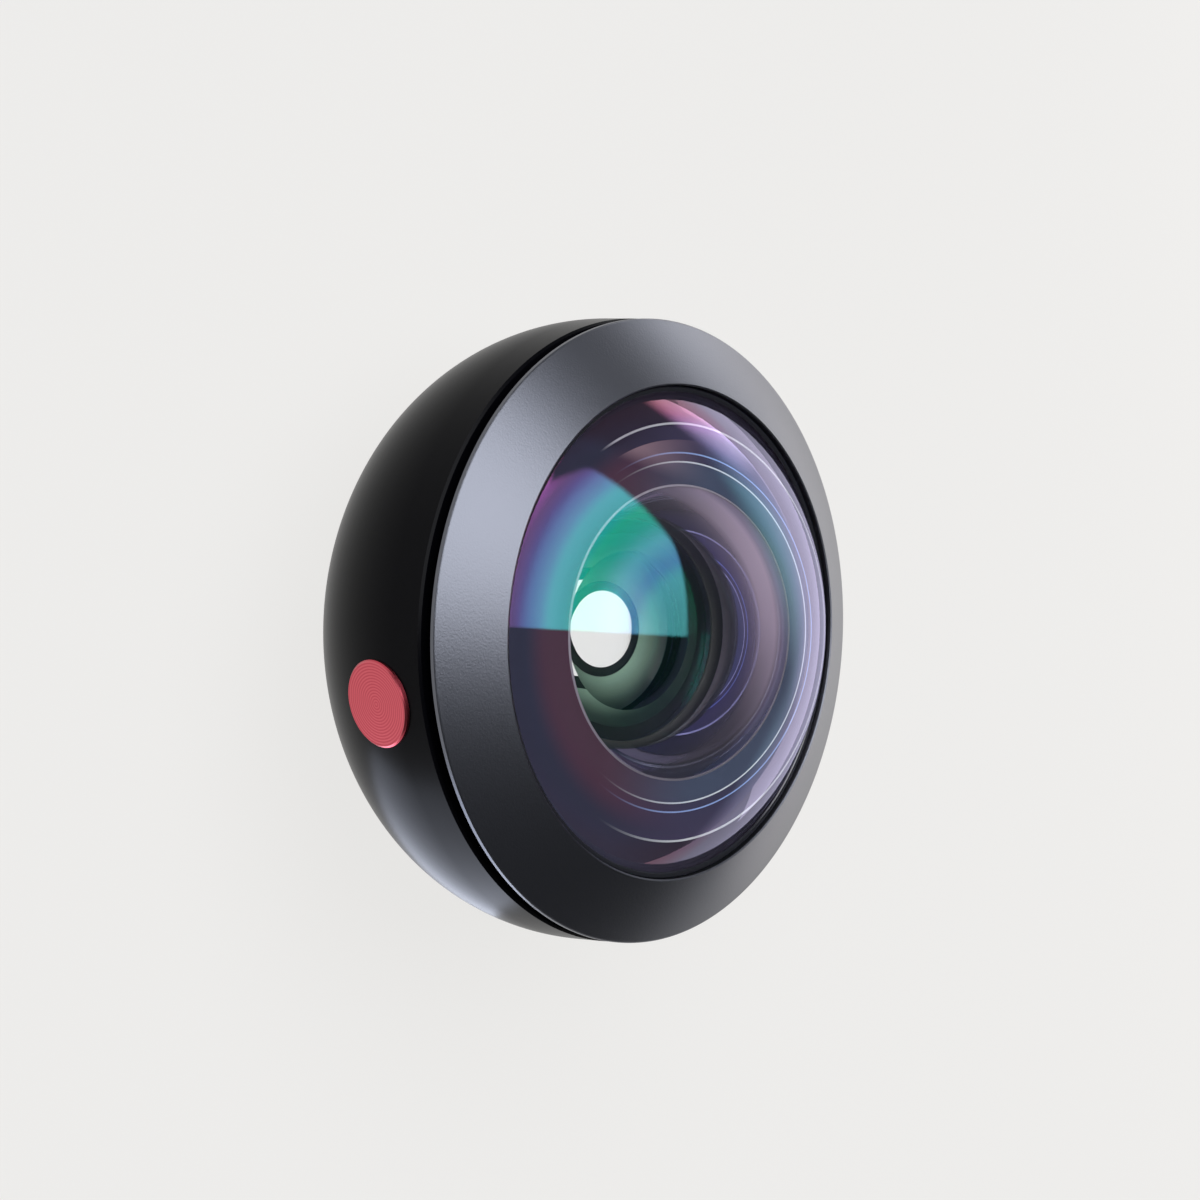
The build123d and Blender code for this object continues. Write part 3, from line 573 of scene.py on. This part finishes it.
polish_end = bowl_radius - bowl_edge[0]
front_outline = (
    polished_face(front_vertex, front_curve, 0, bevel_radius, 72)
    + [(glass_radius, glass_lip_z - bevel_end), (glass_radius, ink_seat_z), (front_step_radius, ink_seat_z),
       (front_step_radius, ink_z + land_chamfer), (front_step_radius - land_chamfer, ink_z),
       (bowl_radius + land_chamfer, ink_z), (bowl_radius, ink_z + bowl_edge[1])]
    + polished_face(front_vertex - front_thickness, bowl_curve, polish_end, 0, 72)
)
front_glass = turned("front_glass", front_outline, front_coating, GLASS_TURNS)
for finish in (bowl_coating, ground_edge, land_ink_and_painted_light):
    front_glass.data.materials.append(finish)
BOWL, GROUND, INKED = 1, 2, 3
for face in front_glass.data.polygons:
    reach, height = hypot(face.center.x, face.center.y), face.center.z
    level = abs(face.normal.z) > 0.2
    if height < ink_seat_z + 0.01 * MM and bowl_radius + 0.08 * MM < reach < glass_radius - 0.01 * MM:
        face.material_index = INKED
    elif reach < polish_end and face.normal.z < 0:
        face.material_index = BOWL
    elif not (level and (height > glass_lip_z or reach < polish_end)):
        face.material_index = GROUND
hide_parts("front_element")
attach(front_glass, "root")


# Barrel: one turned aluminium tube with a seat for each glass, anodised matt black. Four screws through the
# mount pull its collar onto the shell's floor.
barrel_low, barrel_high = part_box("lens_barrel")
second_low, second_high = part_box("second_element")
stop_low, stop_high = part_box("aperture_stop")
rear_low, rear_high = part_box("rear_element")
cell_floor = front_land_z - 0.15 * MM
cell_bore, step_bore = 15.55 * MM, 11.85 * MM
seal_inner, seal_drop = 13.65 * MM, 0.2 * MM
head_radius, head_height = 17.0 * MM, 2.1 * MM
waist_radius, waist_depth = 13.0 * MM, 2.9 * MM
cone_radius, cone_drop = 10.95 * MM, 1.0 * MM
stem_radius, stem_drop = 8.2 * MM, 0.65 * MM
collar_radius, collar_height = 11.43 * MM, 1.9 * MM
collar_z = 4.8 * MM
second_radius, second_step, ring_bore = 9.3 * MM, 8.2 * MM, 9.88 * MM
throat_top, throat_end = 6.9 * MM, 4.5 * MM
pair_bore, rear_bore, tube_radius = 6.6 * MM, 7.13 * MM, 7.83 * MM
glass_fit = 0.05 * MM
throat_z = second_low.z - 0.15 * MM
second_seat_z = second_low.z + 1.5 * MM
second_thread_z = cell_floor - 2.0 * MM
throat_end_z = stop_high.z + 0.35 * MM
rear_land_z = rear_high.z - 0.54 * MM

# Matt black: swallows stray light, so that only the glasses shine.
matt_black = principled(
    "matt_black_anodised_aluminium", "#101014", {"Roughness": 0.5, "Specular IOR Level": 0.5})[0]

# The throat round the stop, painted with a green glow that stands in for light through the coated glasses:
# painted pale green at the pupil, dark outwards.
throat_painted_glow, tree, surface, coordinates = principled(
    "throat_with_painted_green_glow", "#43544d", {"Roughness": 0.4, "Specular IOR Level": 0.6})
deep = add_node(tree, "ShaderNodeMapRange",
                {"interpolation_type": "SMOOTHSTEP", "From Min": 6.5 * MM, "From Max": 4.3 * MM},
                {"Value": from_axis(tree, coordinates)})
painted_glow_colour = add_node(tree, "ShaderNodeMix",
                {"data_type": "RGBA", 6: linear("#1d2827"), 7: linear("#a3bfa8")}, {0: deep.outputs[0]})
tree.links.new(painted_glow_colour.outputs[2], surface.inputs["Base Color"])

barrel_outline = [
    (cell_bore, barrel_high.z), (head_radius, barrel_high.z), (head_radius, barrel_high.z - head_height),
    (waist_radius, barrel_high.z - head_height), (waist_radius, cell_floor - waist_depth),
    (cone_radius, throat_z - cone_drop), (stem_radius, stop_high.z - stem_drop),
    (stem_radius, collar_z + collar_height), (collar_radius, collar_z + collar_height),
    (collar_radius, collar_z), (tube_radius, collar_z),
    (tube_radius, barrel_low.z), (rear_bore, barrel_low.z), (rear_bore, rear_land_z),
    (pair_bore, rear_land_z), (pair_bore, stop_high.z), (throat_end, stop_high.z), (throat_end, throat_end_z),
    (throat_top, throat_z), (second_step + glass_fit, throat_z), (second_step + glass_fit, second_seat_z),
    (second_radius + glass_fit, second_seat_z), (second_radius + glass_fit, second_thread_z),
    (ring_bore, second_thread_z), (ring_bore, cell_floor), (step_bore, cell_floor),
    (step_bore, front_seat_z), (seal_inner - glass_fit, front_seat_z),
    (seal_inner - glass_fit, front_seat_z - seal_drop), (cell_bore, front_seat_z - seal_drop),
]
barrel = turned("barrel", barrel_outline, matt_black)
# The throat's faces get the painted green glow.
barrel.data.materials.append(throat_painted_glow)
for face in barrel.data.polygons:
    if hypot(face.center.x, face.center.y) < throat_top and throat_end_z < face.center.z < throat_z:
        face.material_index = 1
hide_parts("lens_barrel")
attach(barrel, "root")


# Second glass and its ring: a smaller coated meniscus, dropped onto its seat in the barrel and held by a
# threaded aluminium ring with a dished face.
second_clear, second_edge = 7.7 * MM, 0.5 * MM
second_curve, second_bowl_curve = 59.54 * MM, 10.6 * MM
second_bowl = 5.6 * MM
second_thickness = 1.5 * MM
second_land_z = second_high.z - second_edge

# A green coating: the bright clear green in the middle of the lens.
green_coating = coated_glass("coated_second_glass", 1.42, (
    (0.70, "#59f3d0"), (0.86, "#20e09a"), (0.97, "#30d8a0")), EVEN_FILM, (0.3, 0.9))
second_outline = (
    polished_face(second_high.z, second_curve, 0, second_clear, 32)
    + [(second_radius, second_land_z), (second_radius, second_seat_z), (second_step, second_seat_z),
       (second_step, second_low.z)]
    + polished_face(second_high.z - second_thickness, second_bowl_curve, second_bowl, 0, 40)
)
second_glass = turned("second_glass", second_outline, green_coating, GLASS_TURNS)
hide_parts("second_element")
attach(second_glass, "root")

ring_radius, ring_height = 9.85 * MM, 0.8 * MM
ring_inner = second_clear + glass_fit
ring_top_width, ring_lip = 0.4 * MM, 0.15 * MM
ring_outline = [
    (ring_inner, second_land_z), (ring_radius, second_land_z), (ring_radius, second_land_z + ring_height),
    (ring_radius - ring_top_width, second_land_z + ring_height), (ring_inner, second_land_z + ring_lip),
]

# Slate grey: the ring's dished face shows as a dim band round the green.
slate_anodised = principled(
    "slate_anodised_aluminium", "#403d3c", {"Roughness": 0.42, "Specular IOR Level": 0.6})[0]
ring = turned("second_ring", ring_outline, slate_anodised)
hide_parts("second_retainer")
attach(ring, "root")


# Cemented pair and rear glass, deep in the barrel behind the stop. Both glasses of the pair keep a hair's
# breadth between them here, so that each has its own faces.
pair_front_low, pair_front_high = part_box("doublet_front")
pair_rear_low, pair_rear_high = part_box("doublet_rear")
pair_radius, pair_clear = 6.55 * MM, 6.1 * MM
pair_front_curve, cement_curve, pair_rear_curve = 14.96 * MM, 11.98 * MM, 18.08 * MM
pair_front_edge, pair_rear_edge = 1.3 * MM, 1.06 * MM
cement_z = pair_front_high.z - 1.2 * MM
hair = 0.01 * MM
rear_curve, rear_radius = 40.0 * MM, 7.1 * MM

# A thin green coating in front, and bare grey-mirroring glass behind: both nearly vanish against the pupil.
pair_coating = coated_glass("coated_pair_front_glass", 1.25, (
    (0.70, "#a0ffc0"), (0.97, "#60ffa0")), EVEN_FILM, (0.3, 0.9))
bare_glass = coated_glass("cemented_pair_rear_glass", 1.15, (
    (0.70, "#808080"), (0.97, "#606060")), EVEN_FILM, (0.3, 0.9))

pair_front_outline = (
    polished_face(pair_front_high.z, pair_front_curve, 0, pair_clear, 32)
    + [(pair_radius, pair_front_high.z - pair_front_edge)]
    + polished_face(cement_z + hair, cement_curve, pair_radius, 0, 32)
)
pair_front = turned("pair_front", pair_front_outline, pair_coating, GLASS_TURNS)
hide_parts("doublet_front")
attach(pair_front, "root")

pair_rear_outline = (
    polished_face(cement_z, cement_curve, 0, pair_radius, 32)
    + [(pair_radius, pair_rear_low.z + pair_rear_edge)]
    + polished_face(pair_rear_low.z, pair_rear_curve, pair_clear, 0, 32, side=-1)
)
pair_rear = turned("pair_rear", pair_rear_outline, bare_glass, GLASS_TURNS)
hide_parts("doublet_rear")
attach(pair_rear, "root")

rear_outline = (
    polished_face(rear_high.z, rear_curve, 0, pair_radius, 24)
    + [(rear_radius, rear_land_z), (rear_radius, rear_low.z), (0, rear_low.z)]
)
rear_glass = turned("rear_glass", rear_outline, bare_glass, GLASS_TURNS)
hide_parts("rear_element")
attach(rear_glass, "root")


# Badge: a small aluminium disc, faced on a lathe and anodised red, glued into its pocket in the dome a hair
# proud of it.
BADGE_TURNS = 128
badge_radius, badge_thickness, badge_bevel = 2.83 * MM, 0.65 * MM, 0.12 * MM
badge_drop = radians(7.63)
badge_proud = 0.04 * MM
badge_axis = Vector((0, -cos(badge_drop), -sin(badge_drop)))
badge_centre = (Vector((0, -(shoulder_centre + shoulder_radius * cos(badge_drop)),
                        shoulder_z - shoulder_radius * sin(badge_drop))) + badge_axis * badge_proud)

# Red dye over bright metal: the facing cut leaves fine rings that break its sheen. Real ones are about 0.1 mm
# apart and are drawn wider, so that they show.
ring_spacing = 0.19 * MM
red_anodised, tree, surface, coordinates = principled(
    "red_anodised_aluminium", "#cf5a65", {"Metallic": 1.0, "Roughness": 0.34})
from_centre = add_node(tree, "ShaderNodeVectorMath", {"operation": "DISTANCE", 1: badge_centre},
                       {0: coordinates}).outputs["Value"]
turns = add_node(tree, "ShaderNodeMath", {"operation": "MULTIPLY", 1: 2 * pi / ring_spacing},
                 {0: from_centre})
cuts = add_node(tree, "ShaderNodeMath", {"operation": "SINE"}, {0: turns.outputs[0]})
sheen = add_node(tree, "ShaderNodeMapRange", {"From Min": -1.0, "From Max": 1.0}, {"Value": cuts.outputs[0]})
shade = add_node(tree, "ShaderNodeMix", {"data_type": "RGBA", 6: linear("#c24b58"), 7: linear("#d9646f")},
                 {0: sheen.outputs[0]})
tree.links.new(shade.outputs[2], surface.inputs["Base Color"])
bump = add_node(tree, "ShaderNodeBump", {"Strength": 0.4, "Distance": 0.01 * MM}, {"Height": cuts.outputs[0]})
tree.links.new(bump.outputs[0], surface.inputs["Normal"])

badge = turned("red_badge", [(0, 0), (badge_radius - badge_bevel, 0), (badge_radius, -badge_bevel),
                             (badge_radius, -badge_thickness), (0, -badge_thickness)],
               red_anodised, BADGE_TURNS)
across = Vector((1, 0, 0))
badge.data.transform(Matrix.Translation(badge_centre)
                     @ Matrix((across, badge_axis.cross(across), badge_axis)).transposed().to_4x4())
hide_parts("badge_disc")
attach(badge, "root")


# Small pieces kept from the CAD model: the bayonet mount and its screws behind, and the shim, seals, foils,
# spacer and rings inside. They are screwed, pressed or laid between the others.

# Turned steel is bright with a soft sheen, rolled brass a dull gold, rubber dead black in the gaps, blackened
# film darkest of all round the pupil, and the adhesive milky.
steel = principled("turned_stainless_steel", "#9a9a9c", {"Metallic": 1.0, "Roughness": 0.3})[0]
brass = principled("rolled_brass", "#b58d3d", {"Metallic": 1.0, "Roughness": 0.35})[0]
rubber = principled("black_rubber", "#0c0c0c", {"Roughness": 0.8})[0]
film = principled("blackened_film", "#08080a", {"Roughness": 0.7})[0]
adhesive = principled("acrylic_adhesive", "#c0bdb0", {"Roughness": 0.5})[0]
for node, finish in (
    ("badge_adhesive", adhesive), ("bayonet_mount", steel), ("mount_screws", steel),
    ("barrel_shim", brass), ("bezel_seal", rubber), ("front_seal", rubber), ("light_baffle", film),
    ("aperture_stop", film), ("stop_spacer", matt_black), ("doublet_retainer", matt_black),
    ("rear_retainer", matt_black),
):
    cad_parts[node].data.materials[0] = finish
